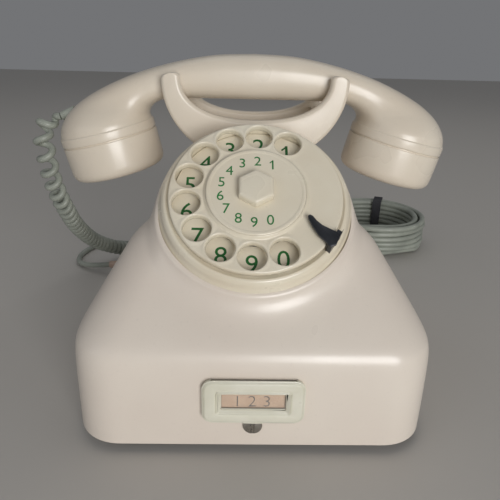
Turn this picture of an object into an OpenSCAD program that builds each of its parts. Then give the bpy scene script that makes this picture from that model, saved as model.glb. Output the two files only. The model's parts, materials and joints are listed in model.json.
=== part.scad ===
// Rotary dial desk telephone: moulded housing, dial, cradle, handset, bell and cords.
// Millimetres. X to the user's right, front faces -Y, Z up, table at Z = 0.

/* [Housing] */
// Width of the housing at its front
housing_w = 160; // [140:1:200]
// Depth of the housing from front wall to rear wall
housing_d = 172; // [150:1:210]
// How much each side wall draws in from front to rear
housing_taper = 4; // [0:0.5:8]
// Height of the crease between the upright walls and the slopes
crease_z = 48.5; // [42:0.5:60]
// Height of the flat top that carries the cradle
top_z = 112; // [106:0.5:112]
// Thickness of the moulded wall
wall = 3; // [2:0.25:4]
// Plan radius of the upright corners
corner_r = 22; // [15:1:30]
// Gap between table and housing rim
rim_z = 4; // [3:0.25:4.5]

/* [Dial] */
// Tilt of the dial face from level, in degrees
dial_tilt = 41.5; // [36:0.5:46]
// Height of the dial centre
dial_z = 106.5; // [100:0.5:112]
// Distance of the dial centre in front of the middle
dial_y = 41.5; // [38:0.5:46]
// Radius of the finger wheel
wheel_r = 39; // [36:0.5:39]
// Radius of the circle of finger holes
hole_circle_r = 31.2; // [29:0.1:31.2]
// Radius of one finger hole
hole_r = 6.3; // [5:0.1:6.6]
// Angle between neighbouring finger holes
hole_pitch = 25.7; // [22:0.1:26.5]
// Clockwise angle of the first hole from the top
first_hole = 28.5; // [20:0.5:35]
// Thickness of the finger wheel at its rim
wheel_t = 3; // [2:0.25:3.5]

/* [Handset] */
// Distance between the middles of the two caps
cap_span = 150; // [148:1:170]
// Outer radius of the caps
cap_r = 26; // [24:0.5:28]
// Inward tilt of the caps
cap_tilt = 14; // [8:1:18]
// Height of the middle of the cap faces
cap_z = 99; // [96:0.5:110]
// Height of the underside of the handle
grip_z = 140; // [138:0.5:150]
// Height of the handle section
grip_h = 23; // [18:0.5:26]
// Depth of the handle, front to rear
grip_d = 27; // [20:0.5:29]

/* [Cradle] */
// Spread of the horn tips, outside to outside
horn_span = 95; // [88:1:96]
// Height of the horn tips
horn_z = 152.5; // [148:0.5:158]
// Thickness of the front and rear plates
horn_t = 5.5; // [4:0.25:7]

/* [Label] */
// Width of the label frame
label_w = 43; // [35:0.5:60]
// Height of the label frame
label_h = 21; // [16:0.5:24]
// How far the label frame stands proud
label_proud = 3; // [2.5:0.25:4]

/* [Bell] */
// Radius of a gong
gong_r = 24; // [18:0.5:24]
// Height of a gong
gong_h = 13; // [8:0.5:16]

/* [Cords] */
// Diameter of the handset cord
curl_d = 4; // [3:0.1:5]
// Outer diameter of the handset cord's curls
curl_od = 11.6; // [9:0.1:14]
// Diameter of the line cord
line_d = 4.6; // [4:0.1:6]

/* [Hidden] */
$fn = 64;
eps = 0.01;
ivory = "#e6dccf";
dial_ivory = "#eae2d0";
steel = "#a9adb0";
dark = "#33343a";
brass = "#c2a45c";
cord_grey = "#9ea399";

mid_y = label_proud / 2;
front_y = mid_y - housing_d / 2;
back_y = mid_y + housing_d / 2;
top_w = 78;
top_front_y = -16;
top_back_y = 56;
plate_z = rim_z + 1.5;
plate_t = 1.5;
deck_z = plate_z + plate_t;
run_gap = 0.06;
fit_gap = 0.2;

// local heights along the dial's own axis, 0 at the wheel's outer face
ring_top = -3;
ring_bottom = -11;
ring_in_r = wheel_r + 0.9;
ring_out_r = ring_in_r + 3.4;
flange_t = 1.2;
case_r = ring_in_r - 0.5;
case_bottom = -30;
case_wall = 1.2;
digits_z = -6;
carrier_z = -11.2;
carrier_t = 1.5;
bridge_z = -25.5;
shaft_r = 4;
stop_angle = 125;

// gears of the dial train
gear_m = 0.8;
main_teeth = 48;
pinion_teeth = 12;
fast_m = 0.6;
fast_teeth = 32;
gov_teeth = 12;
main_a = gear_m * (main_teeth + pinion_teeth) / 2;
fast_a = fast_m * (fast_teeth + gov_teeth) / 2;
pinion_angle = 200;
gov_turn = 110;
pinion_xy = [main_a * cos(pinion_angle), main_a * sin(pinion_angle)];
gov_xy = pinion_xy + [fast_a * cos(pinion_angle + gov_turn), fast_a * sin(pinion_angle + gov_turn)];

// handset
handset_y = 27.5;
grip_top = grip_z + grip_h;
cap_h = 20;
band_h = 5;
cap_x = cap_span / 2;
cup_wall = 3;

// cradle
fork_front_y = handset_y - grip_d / 2 - 2.5 - horn_t;
fork_back_y = handset_y + grip_d / 2 + 2.5 + horn_t;
web_z = grip_z - 8.7;
fork_z = top_z + 2;
plunger_r = 3;
plunger_x = 16;
plunger_z = 89;
bush_z = top_z - wall - 4;
lever_pin_y = 48;
lever_pin_z = 85;
lever_top = plunger_z - 0.3;
shelf_z = 78;

// bell
gong_x = gong_r + 6;
gong_y = 27;
gong_top = 40;
post_r = 3;
clap_pivot_y = -6;
clap_z = gong_top - gong_h + 3.5;
ball_r = 2.8;

// cords: routes of round numbers
coil_path = [[-106, 27.5, 128.5], [-112, 27.5, 126.5], [-117, 28, 119.5], [-117.5, 29, 110], [-118, 32, 101], [-119, 38, 90],
  [-119.5, 47, 77], [-120, 58, 65], [-120.5, 71, 52], [-120, 87, 38.5], [-117, 103, 26], [-111, 118, 16],
  [-101, 129, 9], [-88, 134, 6.4], [-72, 136, 6.1], [-56, 136, 6.1], [-40, 135, 6.1], [-24, 134, 6.1]];
tail_path = [[-24, 134, 6.1], [-17, 135, 5], [-10, 139, 3], [-7, 147, 2.2], [-12, 156, 2.1], [-24, 161, 2.1],
  [-45, 162, 2.1], [-68, 159, 2.1], [-90, 157, 2.1], [-106, 159, 2.1], [-119, 160, 2.1], [-130, 153, 2.1],
  [-136, 141, 2.1], [-138, 128, 2.1], [-135, 116, 2.3], [-127, 108, 3.4], [-116, 103, 5.4], [-106, 100, 7.4]];
boot_path = [[-106, 100, 7.4], [-100, 98.6, 8.4], [-93, 98, 9.6], [-84, 97.6, 10.4], [-75, 97.2, 11], [-66, 96.4, 11],
  [-59, 94, 11], [-55, 89.6, 11], [-52.6, 82.5, 11]];
line_path = [[46, 108, 10.5], [47.5, 113, 9], [51, 119, 6], [57, 125, 3.4], [66, 130, 2.4], [78, 134, 2.4], [91, 136.2, 2.8],
  [100, 137, 3.4]];
line_boot_path = [[44, 82.5, 11], [44.5, 91, 11], [45.2, 100, 10.9], [46, 108, 10.5]];
end_path = [[69.5, 172, 20], [68.4, 170, 18], [66.4, 168, 15], [63.7, 166, 12], [60, 163.4, 9]];
line_coil_c = [117, 184];
line_coil_in = 33.5;
line_coil_out = 47.5;
line_coil_z0 = 1.2;
line_coil_h = 26.6;
tie_t = 1;
tie_angle = 70;
plug_at = [60, 163.4, 9];
plug_turn = 40;
plug_l = 34;

// ---------- helpers ----------
module dial_frame() { translate([0, -dial_y, dial_z]) rotate([dial_tilt, 0, 0]) children(); }
module disc(r, z0, z1) { translate([0, 0, z0]) cylinder(r = r, h = z1 - z0); }
module ring(ro, ri, z0, z1) { difference() { disc(ro, z0, z1); disc(ri, z0 - 1, z1 + 1); } }
module bar(p, q) { translate(p) cube(q - p); }
module at_holes() { for (i = [0 : 9]) rotate(-first_hole + hole_pitch * i) translate([0, hole_circle_r]) children(); }
function cup_frame(s) = [s * cap_x, handset_y, cap_z];
module cup_place(s) { translate(cup_frame(s)) rotate([0, s * cap_tilt, 0]) children(); }
module plan(w, w2, y0, y1, r, z) {
  translate([0, 0, z]) linear_extrude(eps) hull() {
    for (s = [-1, 1]) translate([s * (w / 2 - r), y0 + r]) circle(r = r, $fn = 40);
    for (s = [-1, 1]) translate([s * (w2 / 2 - r), y1 - r]) circle(r = r, $fn = 40);
  }
}
// one level of the housing: g is how far the surface is drawn in, k runs from crease (0) to top (1)
function mix(a, b, k) = a + (b - a) * k;
module level(z, g, k) {
  w = mix(housing_w, top_w, k) - 2 * g;
  w2 = mix(housing_w - 2 * housing_taper, top_w - housing_taper, k) - 2 * g;
  plan(w, w2, mix(front_y, top_front_y, k) + g, mix(back_y, top_back_y, k) - g, mix(corner_r, 16, k) - g / 2, z);
}
function levels(g, z0) = [[z0, g, 0], [crease_z - 9, g, 0], [crease_z - 4 - g / 3, 0.7 + g, 0], [crease_z - g / 2, 2.4 + g, 0],
  [mix(crease_z, top_z, 0.07) - g * 0.55, g, 0.09], [mix(crease_z, top_z, 0.3) - g * 0.55, g, 0.31],
  [mix(crease_z, top_z, 0.6) - g * 0.55, g, 0.6], [top_z - 4 - g * 0.8, g, 0.93], [top_z - 1 - g, g + 1, 0.98], [top_z - g, g + 4, 1]];
module body_solid(g, z0) {
  L = levels(g, z0);
  for (i = [0 : len(L) - 2]) hull() { level(L[i][0] - (i > 0 ? eps : 0), L[i][1], L[i][2]); level(L[i + 1][0], L[i + 1][1], L[i + 1][2]); }
}
function unit(v) = v / norm(v);
// a smooth curve through hand-picked points
function spline(p, n) = concat([for (i = [0 : len(p) - 2]) for (k = [0 : n - 1])
  let (t = k / n, a = p[max(i - 1, 0)], b = p[i], c = p[i + 1], d = p[min(i + 2, len(p) - 1)])
  0.5 * (2 * b + (c - a) * t + (2 * a - 5 * b + 4 * c - d) * t * t + (3 * b - a - 3 * c + d) * t * t * t)], [p[len(p) - 1]]);
function tangent(p, i) = unit(p[min(i + 1, len(p) - 1)] - p[max(i - 1, 0)]);
function side_of(t) = unit(cross([0, 1, 1], t));
module tube(p, d, sides) {
  n = len(p);
  points = [for (i = [0 : n - 1]) let (t = tangent(p, i), u = side_of(t), v = cross(t, u), r = is_list(d) ? mix(d[0], d[1], i / (n - 1)) / 2 : d / 2)
    for (k = [0 : sides - 1]) p[i] + r * (cos(360 * k / sides) * u + sin(360 * k / sides) * v)];
  sides_faces = [for (i = [0 : n - 2]) for (k = [0 : sides - 1])
    [i * sides + k, i * sides + (k + 1) % sides, (i + 1) * sides + (k + 1) % sides, (i + 1) * sides + k]];
  polyhedron(points, concat([[for (k = [sides - 1 : -1 : 0]) k]], sides_faces, [[for (k = [0 : sides - 1]) (n - 1) * sides + k]]));
}
// involute gear outline with backlash b at the pitch circle
function inv_angle(rb, r) = let (a = acos(min(1, rb / r))) tan(a) * 180 / PI - a;
module gear(m, z, b, h, phase) {
  rp = m * z / 2; rb = rp * cos(20); ro = rp + 0.8 * m; ri = rp - 1.1 * m;
  half = 90 / z - b / rp * 90 / PI + inv_angle(rb, rp);
  radii = [max(rb, ri + 0.05), (max(rb, ri) + rp) / 2, rp, (rp + ro) / 2, ro];
  tooth = concat([for (r = radii) [r, -half + inv_angle(rb, r)]], [for (i = [4 : -1 : 0]) [radii[i], half - inv_angle(rb, radii[i])]]);
  linear_extrude(h) rotate(phase) polygon([for (k = [0 : z - 1]) let (a = 360 * k / z) each concat(
    [[ri * cos(a - half), ri * sin(a - half)]], [for (q = tooth) [q[0] * cos(a + q[1]), q[0] * sin(a + q[1])]],
    [[ri * cos(a + half), ri * sin(a + half)]])]);
}

// ---------- housing and base ----------
module housing() color(ivory) {
  difference() {
    union() {
      body_solid(0, rim_z);
      dial_frame() {
        disc(ring_out_r + 1.2, -34, ring_bottom - 1.2);
        disc(ring_out_r + 0.2, -34, ring_bottom);
      }
      intersection() {
        dial_frame() for (i = [0 : 4]) disc(ring_out_r + 1.2 + (i + 1) * (i + 1) * 0.36, -30, ring_bottom - 2 - i * 2);
        bar([-housing_w, front_y, 0], [housing_w, fork_front_y - 0.8, 2 * top_z]);
      }
    }
    difference() {
      translate([0, 0, -eps]) body_solid(wall, rim_z);
      dial_frame() disc(ring_out_r + 1.2, -34, 0);
      for (s = [-1, 1]) for (y = [-62, 64]) translate([s * 60, y, deck_z]) cylinder(r = 4.5, h = 100);
    }
    dial_frame() disc(case_r + fit_gap, -60, 5);
    dial_frame() disc(ring_out_r - 0.4, ring_bottom - flange_t, 5);
    dial_frame() disc(ring_out_r + 0.2, ring_bottom, 5);
    for (s = [-1, 1]) translate([s * plunger_x, handset_y, top_z - 12]) cylinder(r = 5, h = 20);
    for (s = [-1, 1]) for (y = [-62, 64]) translate([s * 60, y, -1]) cylinder(r = 1.2, h = deck_z + 12);
    translate([0, front_y - 1, 15]) rotate([-90, 0, 0]) cylinder(r = 2.2, h = 10);
    translate([-53.5, back_y - 1.5, 11]) rotate([-90, 0, 15]) cylinder(r = 4.6, h = 20, center = true);
    translate([44, back_y - 8, 11]) rotate([-90, 0, 0]) cylinder(r = 4.6, h = 20);
  }
}

module base_plate() color(steel) difference() {
  translate([0, 0, plate_z]) linear_extrude(plate_t) difference() {
    offset(r = 20) polygon([[-housing_w / 2 + wall + 20.6, front_y + wall + 20.6], [housing_w / 2 - wall - 20.6, front_y + wall + 20.6],
      [housing_w / 2 - wall - 20.6 - housing_taper, back_y - wall - 20.6], [-housing_w / 2 + wall + 20.6 + housing_taper, back_y - wall - 20.6]]);
    at_posts() circle(r = 1.9);
    at_feet() circle(r = 2.6);
  }
}
module at_posts() { for (s = [-1, 1]) for (y = [-62, 64]) translate([s * 60, y]) children(); }
module at_feet() { for (s = [-1, 1]) for (y = [-54, 52]) translate([s * 50, y]) children(); }
module rubber_feet() color(dark) at_feet() {
  cylinder(r1 = 8, r2 = 9, h = plate_z);
  translate([0, 0, plate_z]) cylinder(r = 2.5, h = plate_t);
  translate([0, 0, deck_z]) cylinder(r = 4.5, h = 1.5);
}
module base_screws() color(steel) at_posts() {
  translate([0, 0, plate_z - 1.6]) cylinder(r = 3.2, h = 1.6);
  translate([0, 0, plate_z]) cylinder(r = 1.1, h = plate_t + 9);
}
module housing_screw() color(steel) translate([0, front_y, 15]) rotate([90, 0, 0]) difference() {
  union() {
    intersection() { translate([0, 0, -10.4]) sphere(r = 12); cylinder(r = 4.2, h = 3); }
    translate([0, 0, -8]) cylinder(r = 2.1, h = 8);
  }
  translate([-0.6, -5, 0.7]) cube([1.2, 10, 3]);
}

// ---------- label ----------
module rounded_box(w, h, r, z0, z1) {
  translate([0, 0, z0]) linear_extrude(z1 - z0) union() {
    square([w - 2 * r, h], center = true);
    square([w, h - 2 * r], center = true);
    for (sx = [-1, 1]) for (sy = [-1, 1]) translate([sx * (w / 2 - r), sy * (h / 2 - r)]) circle(r = r);
  }
}
module label_place() { translate([0, front_y, 28.5]) rotate([90, 0, 0]) children(); }
module label_frame() color("#dfdcc9") label_place() difference() {
  union() {
    rounded_box(label_w, label_h, 4, 0, label_proud - 1);
    rounded_box(label_w - 1.2, label_h - 1.2, 3.6, label_proud - 1, label_proud);
  }
  cube([label_w - 15, label_h - 13, 20], center = true);
  for (k = [0 : 3]) rounded_box(label_w - 14.4 + k * 0.9, label_h - 12.4 + k * 0.9, 1.2, label_proud - 1.6 + k * 0.4, label_proud + 1);
  translate([-label_w / 2 + 4, -label_h / 2 + 2.5, -1]) cube([label_w - 8, label_h, 2.2]);
  translate([0, 15 - 28.5, -1]) cylinder(r = 4.6, h = 2.9);
}
module label_card() color("#c99f78") label_place() bar([-label_w / 2 + 5, -label_h / 2 + 3, 0.05], [label_w / 2 - 5, label_h / 2 - 1, 0.45]);
module label_window() color("#f2f2ea", 0.4) label_place() bar([-label_w / 2 + 5, -label_h / 2 + 3, 0.5], [label_w / 2 - 5, label_h / 2 - 1, 1.0]);

// ---------- dial, fixed pieces ----------
module dial_ring() color(dial_ivory) dial_frame() difference() {
  rotate_extrude() polygon(concat([[ring_in_r, ring_bottom], [ring_out_r, ring_bottom]],
    [for (a = [0 : 15 : 90]) [ring_in_r + 0.8 + (ring_out_r - ring_in_r - 0.8) * cos(a), ring_top - 4.5 + 4.5 * sin(a)]],
    [[ring_in_r + 0.3, ring_top], [ring_in_r, ring_top - 0.3]]));
  rotate(90 - stop_angle) bar([wheel_r, -5, ring_bottom - 1], [ring_out_r - 1, 5, 5]);
}
module dial_case() color(steel) dial_frame() {
  difference() {
    union() { disc(case_r, case_bottom, ring_bottom); disc(ring_out_r - 0.6, ring_bottom - flange_t, ring_bottom); }
    disc(case_r - case_wall, case_bottom + case_wall, 1);
  }
}
module number_ring() color(dial_ivory) dial_frame() {
  ring(case_r - case_wall - 0.4, wheel_r - 15.5, digits_z - 1, digits_z);
  ring(case_r - case_wall - 0.4, case_r - case_wall - 1.6, carrier_z, digits_z - 1);
}
module finger_stop() color("#4f555d") dial_frame() {
  translate([0, 0, 1.6]) linear_extrude(1.4) polygon([[22.2, -12.6], [23.2, -12.1], [24.4, -12.8], [25.8, -14.9],
    [28.2, -17.2], [32.3, -19.4], [35.8, -21.3], [33.4, -26.6], [31.2, -27.2], [28.8, -24.8], [26.3, -22], [23.9, -17.8], [22.4, -14.2]]);
  rotate(90 - stop_angle) difference() {
    bar([wheel_r, -4.5, ring_bottom], [wheel_r + 2.6, 4.5, 2.6]);
    disc(wheel_r + 0.5, -20, 5);
  }
}
module at_pillars() { for (a = [80, 155, 320]) rotate(a) translate([34.2, 0]) children(); }
module dial_plate() color(steel) dial_frame() difference() {
  disc(case_r - case_wall - fit_gap, carrier_z - carrier_t, carrier_z);
  disc(shaft_r + run_gap, -20, 0);
  translate(pinion_xy) disc(1.5 + run_gap, -20, 0);
  translate(gov_xy) disc(1.2 + run_gap, -20, 0);
}
module dial_bridge() color(brass) dial_frame() {
  difference() {
    disc(36.6, bridge_z - 1.5, bridge_z);
    disc(shaft_r + run_gap, -40, 0);
    translate(pinion_xy) disc(1.5 + run_gap, -40, 0);
    translate(gov_xy) disc(1.2 + run_gap, -40, 0);
  }
  at_pillars() disc(2, bridge_z, carrier_z - carrier_t);
}
module dial_screws() color(steel) dial_frame() at_pillars() difference() {
  disc(2.2, bridge_z - 2.8, bridge_z - 1.5);
  bar([-3, -0.3, bridge_z - 3], [3, 0.3, bridge_z - 2.2]);
}
module dial_spring() color(steel) dial_frame() translate([0, 0, -14.1]) linear_extrude(1) polygon(concat(
  [for (i = [0 : 72]) let (a = 20 * i, r = 5.2 + 10 * i / 72) [r * cos(a), r * sin(a)]],
  [for (i = [72 : -1 : 0]) let (a = 20 * i, r = 5.7 + 10 * i / 72) [r * cos(a), r * sin(a)]]));
module governor_drum() color(brass) dial_frame() translate(gov_xy) ring(8, 7.2, bridge_z, bridge_z + 4.5);
module pulse_contacts() color(brass) dial_frame() translate(pinion_xy) rotate(120) {
  for (k = [0 : 2]) bar([5.4 + k * 1.2, -4, bridge_z + 1], [5.7 + k * 1.2, 6, bridge_z + 3.6]);
  bar([5, 6, bridge_z], [9, 10, bridge_z + 4.4]);
}

// ---------- dial, turning pieces ----------
module finger_wheel() color(dial_ivory) dial_frame() difference() {
  union() {
    rotate_extrude() polygon([[shaft_r + 0.02, -1.5], [22, -1.5], [25, -wheel_t], [wheel_r - 0.6, -wheel_t], [wheel_r, -wheel_t + 0.6],
      [wheel_r, -1.2], [wheel_r - 0.4, -0.4], [wheel_r - 1.4, 0], [25.4, 0], [24, 0.5], [22.6, 1.5], [22.4, 1.5], [22.4, 0.6], [shaft_r + 0.02, 0.6]]);
    at_holes() disc(hole_r + 0.55, -1, 0.35);
  }
  at_holes() disc(hole_r, -9, 3);
}
module dial_disc() color(dial_ivory) dial_frame() rotate_extrude() polygon([[0, 0.6], [22.3, 0.6], [22.3, 1.7], [21.9, 2.1], [21.2, 2.1],
  [20.8, 1.7], [0, 1.9]]);
module hub_nut() color(dial_ivory) dial_frame() rotate(90) {
  translate([0, 0, 1.9]) cylinder(r = 8.9, h = 3.6, $fn = 6);
  translate([0, 0, 5.5]) cylinder(r1 = 8.9, r2 = 7.9, h = 0.8, $fn = 6);
}
module dial_shaft() color(steel) dial_frame() {
  disc(shaft_r, bridge_z - 2.6, 0.6);
  disc(9, -wheel_t, -1.5);
}
module main_gear() color(brass) dial_frame() difference() {
  translate([0, 0, -16.5]) gear(gear_m, main_teeth, 0.12, 2, pinion_angle);
  disc(shaft_r, -20, 0);
  for (k = [0 : 4]) rotate(72 * k) translate([11.5, 0]) disc(3.4, -20, 0);
}
module pinion() color(brass) dial_frame() translate(pinion_xy) {
  disc(1.5, bridge_z - 2, carrier_z - 0.2);
  translate([0, 0, -17]) gear(gear_m, pinion_teeth, 0.12, 3, pinion_angle + 180 - 180 / pinion_teeth);
  translate([0, 0, -20.2]) gear(fast_m, fast_teeth, 0.12, 1.6, pinion_angle + gov_turn);
  translate([0, 0, bridge_z + 1.4]) hull() for (s = [-1, 1]) translate([s * 1.4, 0, 0]) cylinder(r = 3, h = 1.6, $fn = 32);
}
module governor_spindle() color(steel) dial_frame() translate(gov_xy) {
  disc(1.2, bridge_z - 2, carrier_z - 0.2);
  translate([0, 0, -20.5]) gear(fast_m, gov_teeth, 0.12, 2.2, pinion_angle + gov_turn + 180 - 180 / gov_teeth);
}
module governor_weights() color(brass) dial_frame() translate(gov_xy) difference() {
  intersection() { ring(6.8, 1.2, bridge_z + 0.6, bridge_z + 3.6); bar([-8, -2.6, -40], [8, 2.6, 0]); }
}

// ---------- chassis, bell and circuit ----------
module chassis_bracket() color(steel) {
  bar([-26, 56, deck_z], [26, 58, shelf_z + 2]);
  bar([-26, 16, shelf_z], [26, 56, shelf_z + 2]);
  bar([-26, 52, deck_z], [26, 56, deck_z + 1.5]);
}
module ringer_frame() color(steel) {
  bar([-40, -38, deck_z], [40, 50, deck_z + 1.5]);
  for (s = [-1, 1]) translate([s * gong_x, gong_y, deck_z]) difference() {
    cylinder(r = post_r, h = gong_top - 1.3 - deck_z);
    translate([0, 0, 10]) cylinder(r = 1.6, h = 100);
  }
  translate([0, clap_pivot_y, deck_z]) cylinder(r = 1.5, h = clap_z + 4 - deck_z);
  bar([-20, -34, deck_z], [20, -32, 30]);
}
module ringer_coils() color("#6f3f2c") for (s = [-1, 1]) translate([s * 12, 0, 20]) rotate([90, 0, 0]) {
  ring(8, 3, 14, 31);
  ring(9, 3, 12.8, 14);
  ring(9, 3, 31, 32);
}
module ringer_core() color(steel) for (s = [-1, 1]) translate([s * 12, 0, 20]) rotate([90, 0, 0]) disc(3, 11.5, 32);
module gong(s) color(brass) translate([s * gong_x, gong_y, gong_top - gong_h]) rotate_extrude() polygon(concat(
  [for (a = [90 : -15 : 0]) [max(1.9, (gong_r - 6) * sin(90 - a) + 6 * cos(a)), gong_h - 6 + 6 * sin(a)]], [[gong_r, 0], [gong_r - 1.2, 0]],
  [for (a = [0 : 15 : 90]) [max(1.9, (gong_r - 6) * sin(90 - a) + 4.8 * cos(a)), gong_h - 6 + 4.8 * sin(a)]]));
module gong_left() gong(-1);
module gong_right() gong(1);
module gong_screws() color(steel) for (s = [-1, 1]) translate([s * gong_x, gong_y, gong_top]) {
  difference() { disc(3.8, 0, 2); bar([-5, -0.5, 1.2], [5, 0.5, 3]); }
  disc(1.5, -12, 0);
}
module clapper() color(steel) {
  translate([0, clap_pivot_y, clap_z - 12]) ring(3.2, 1.5 + run_gap, 0, 14.5);
  difference() {
    bar([-17, clap_pivot_y - 2.6, clap_z - 12], [17, clap_pivot_y - 1, clap_z - 2]);
    translate([0, clap_pivot_y, 0]) cylinder(r = 1.5 + run_gap, h = 80);
  }
  translate([0, clap_pivot_y + 2, clap_z]) rotate([-90, 0, 0]) cylinder(r = 0.9, h = gong_y - clap_pivot_y - 3);
  translate([0, gong_y, clap_z]) sphere(r = ball_r);
}
module induction_coil() color("#b98d4a") {
  bar([-45, -64, deck_z], [-15, -40, deck_z + 2]);
  bar([-43, -60, deck_z + 2], [-17, -44, deck_z + 22]);
  bar([-45, -64, deck_z + 22], [-15, -40, deck_z + 24]);
}
module capacitor() color("#8c8f8a") {
  bar([16, 61, deck_z], [50, 78, deck_z + 24]);
  for (x = [24, 42]) translate([x, 69.5, deck_z + 24]) cylinder(r = 2, h = 4);
}
module terminal_block() color("#3a2a22") difference() {
  bar([-42, 61, deck_z], [8, 77, deck_z + 10]);
  for (k = [0 : 4]) translate([-37 + 10 * k, 69, deck_z + 2]) cylinder(r = 1.7, h = 20);
}
module terminal_screws() color(brass) for (k = [0 : 4]) translate([-37 + 10 * k, 69, deck_z + 10]) {
  difference() { disc(3.4, 0, 2); bar([-4, -0.4, 1.2], [4, 0.4, 3]); }
  disc(1.6, -6, 0);
}

// ---------- hook switch and cradle ----------
module hook_switch_frame() color(steel) for (s = [-1, 1]) difference() {
  bar([s * 22.2 - 1, lever_pin_y - 6, shelf_z + 2], [s * 22.2 + 1, lever_pin_y + 6, lever_pin_z + 5]);
  translate([-40, lever_pin_y, lever_pin_z]) rotate([0, 90, 0]) cylinder(r = 2 + run_gap, h = 80);
}
module hook_contacts() color(brass) {
  for (k = [0 : 2]) bar([-8, 22, shelf_z + 3.2 + 1.1 * k], [8, 41, shelf_z + 3.5 + 1.1 * k]);
  difference() {
    bar([-9, 34, shelf_z + 2], [9, 41, shelf_z + 6.4]);
    for (k = [0 : 2]) bar([-8, 22, shelf_z + 3.2 + 1.1 * k], [8, 41, shelf_z + 3.5 + 1.1 * k]);
  }
}
module hook_lever() color(steel) {
  bar([-20.6, 22, lever_top - 1.8], [20.6, lever_pin_y - 1, lever_top]);
  translate([-20.6, lever_pin_y, lever_pin_z]) rotate([0, 90, 0]) cylinder(r = 3.4, h = 41.2);
  translate([-23.4, lever_pin_y, lever_pin_z]) rotate([0, 90, 0]) cylinder(r = 2, h = 46.8);
}
module cradle_bushes() color(steel) for (s = [-1, 1]) translate([s * plunger_x, handset_y, 0]) {
  ring(4.9, plunger_r + run_gap, bush_z, top_z + 0.5);
  ring(7, plunger_r + run_gap, top_z + 2 * eps, top_z + 1);
}
module cradle_plungers() color(steel) for (s = [-1, 1]) translate([s * plunger_x, handset_y, 0]) {
  translate([0, 0, plunger_z]) cylinder(r1 = 0.8, r2 = plunger_r, h = 2.2);
  disc(plunger_r, plunger_z + 2.2, fork_z + 5);
}
function arch_top(x) = grip_top - 185 + sqrt(185 * 185 - x * x);
function fork_outer(a) = [horn_span / 2 * cos(a), horn_z - 2.5 - (horn_z - 2.5 - fork_z) / sin(60) * sin(a)];
function fork_inner(a) = [38 * pow(cos(a), 0.87), horn_z - 0.5 - (horn_z - 0.5 - web_z) * pow(sin(a), 0.87)];
module fork_outline() {
  half = concat([for (a = [60 : -6 : 0]) fork_outer(a)], [for (a = [0 : 30 : 90]) [horn_span / 2 - 2 + 2 * cos(a), horn_z - 2 + 2 * sin(a)]],
    [[39.5, horn_z], [38.3, horn_z - 0.4]], [for (a = [8 : 8.2 : 90]) fork_inner(a)]);
  polygon(concat(half, [for (i = [len(half) - 1 : -1 : 0]) [-half[i][0], half[i][1]]]));
}
module cradle_fork() color(ivory) difference() {
  union() {
    for (y = [fork_front_y + horn_t, fork_back_y]) translate([0, y, 0]) rotate([90, 0, 0]) linear_extrude(horn_t) fork_outline();
    bar([-23, fork_front_y + horn_t, fork_z], [23, fork_back_y - horn_t, fork_z + 7]);
    for (s = [-1, 1]) bar([s * 37 - 4, fork_front_y + horn_t, grip_z - 10], [s * 37 + 4, fork_back_y - horn_t, arch_top(41) - grip_h - 0.4]);
  }
  dial_frame() disc(ring_out_r + 1.7, -60, 0);
  for (s = [-1, 1]) translate([s * plunger_x, handset_y, fork_z - 1]) cylinder(r = plunger_r, h = 6);
}

// ---------- handset ----------
module ball(x, z, r, ry) { translate([x, handset_y, z]) scale([1, ry / r, 1]) sphere(r = r, $fn = 32); }
module handset_shell() color(ivory) difference() {
  union() {
    for (k = [-3 : 2]) hull() for (j = [k, k + 1]) ball(j * 17, arch_top(j * 17) - grip_h / 2 + 0.2, grip_h / 2, grip_d / 2);
    for (s = [-1, 1]) {
      hull() { ball(s * 51, arch_top(51) - 10.5, 10.5, 13.5); ball(s * 68, arch_top(68) - 12, 12, 16); }
      hull() {
        ball(s * 68, arch_top(68) - 12, 12, 16);
        ball(s * 84, 131.5, 13, 20);
        cup_place(s) disc(cap_r - 6, cap_h + 9, cap_h + 11);
      }
      hull() {
        ball(s * 84, 131.5, 13, 20);
        cup_place(s) { disc(cap_r, cap_h, cap_h + band_h); disc(cap_r - 6, cap_h + 9, cap_h + 11); }
      }
    }
  }
  for (s = [-1, 1]) cup_place(s) disc(cap_r - cup_wall - 1, cap_h - 1, cap_h + 8);
  gland_place() cylinder(r = 3, h = 40);
}
module gland_place() { translate([-106, handset_y, 128.5]) rotate([0, 70, 0]) children(); }
module handset_gland() color("#8f9389") gland_place() difference() {
  translate([0, 0, 0.9]) cylinder(r1 = 2.4, r2 = 3, h = 8.1);
}
module cap(s, rings) color(ivory) cup_place(s) difference() {
  rotate_extrude() polygon(concat([[0, 0]], [for (a = [-90 : 15 : 0]) [cap_r - 5 + 5 * cos(a), 5 + 5 * sin(a)]],
    [[cap_r, cap_h], [cap_r - cup_wall, cap_h], [cap_r - cup_wall, 3.5], [0, 3.5]]));
  for (k = [0 : rings]) for (i = [0 : max(0, 6 * k - 1)]) rotate(i * 360 / max(1, 6 * k)) translate([4.6 * k, 0]) disc(1.1, -1, 5);
}
module mouthpiece_cap() cap(-1, 2);
module earpiece_cap() cap(1, 1);
module capsule(s, c) color(c) cup_place(s) { disc(cap_r - cup_wall - 0.5, 3.6, 9); disc(cap_r - cup_wall - 5, 9, 15); }
module microphone_capsule() capsule(-1, steel);
module receiver_capsule() capsule(1, "#5b4a3a");
module capsule_springs() color(brass) for (s = [-1, 1]) cup_place(s) ring(14, 12.8, 15, cap_h + 7.9);

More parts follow.
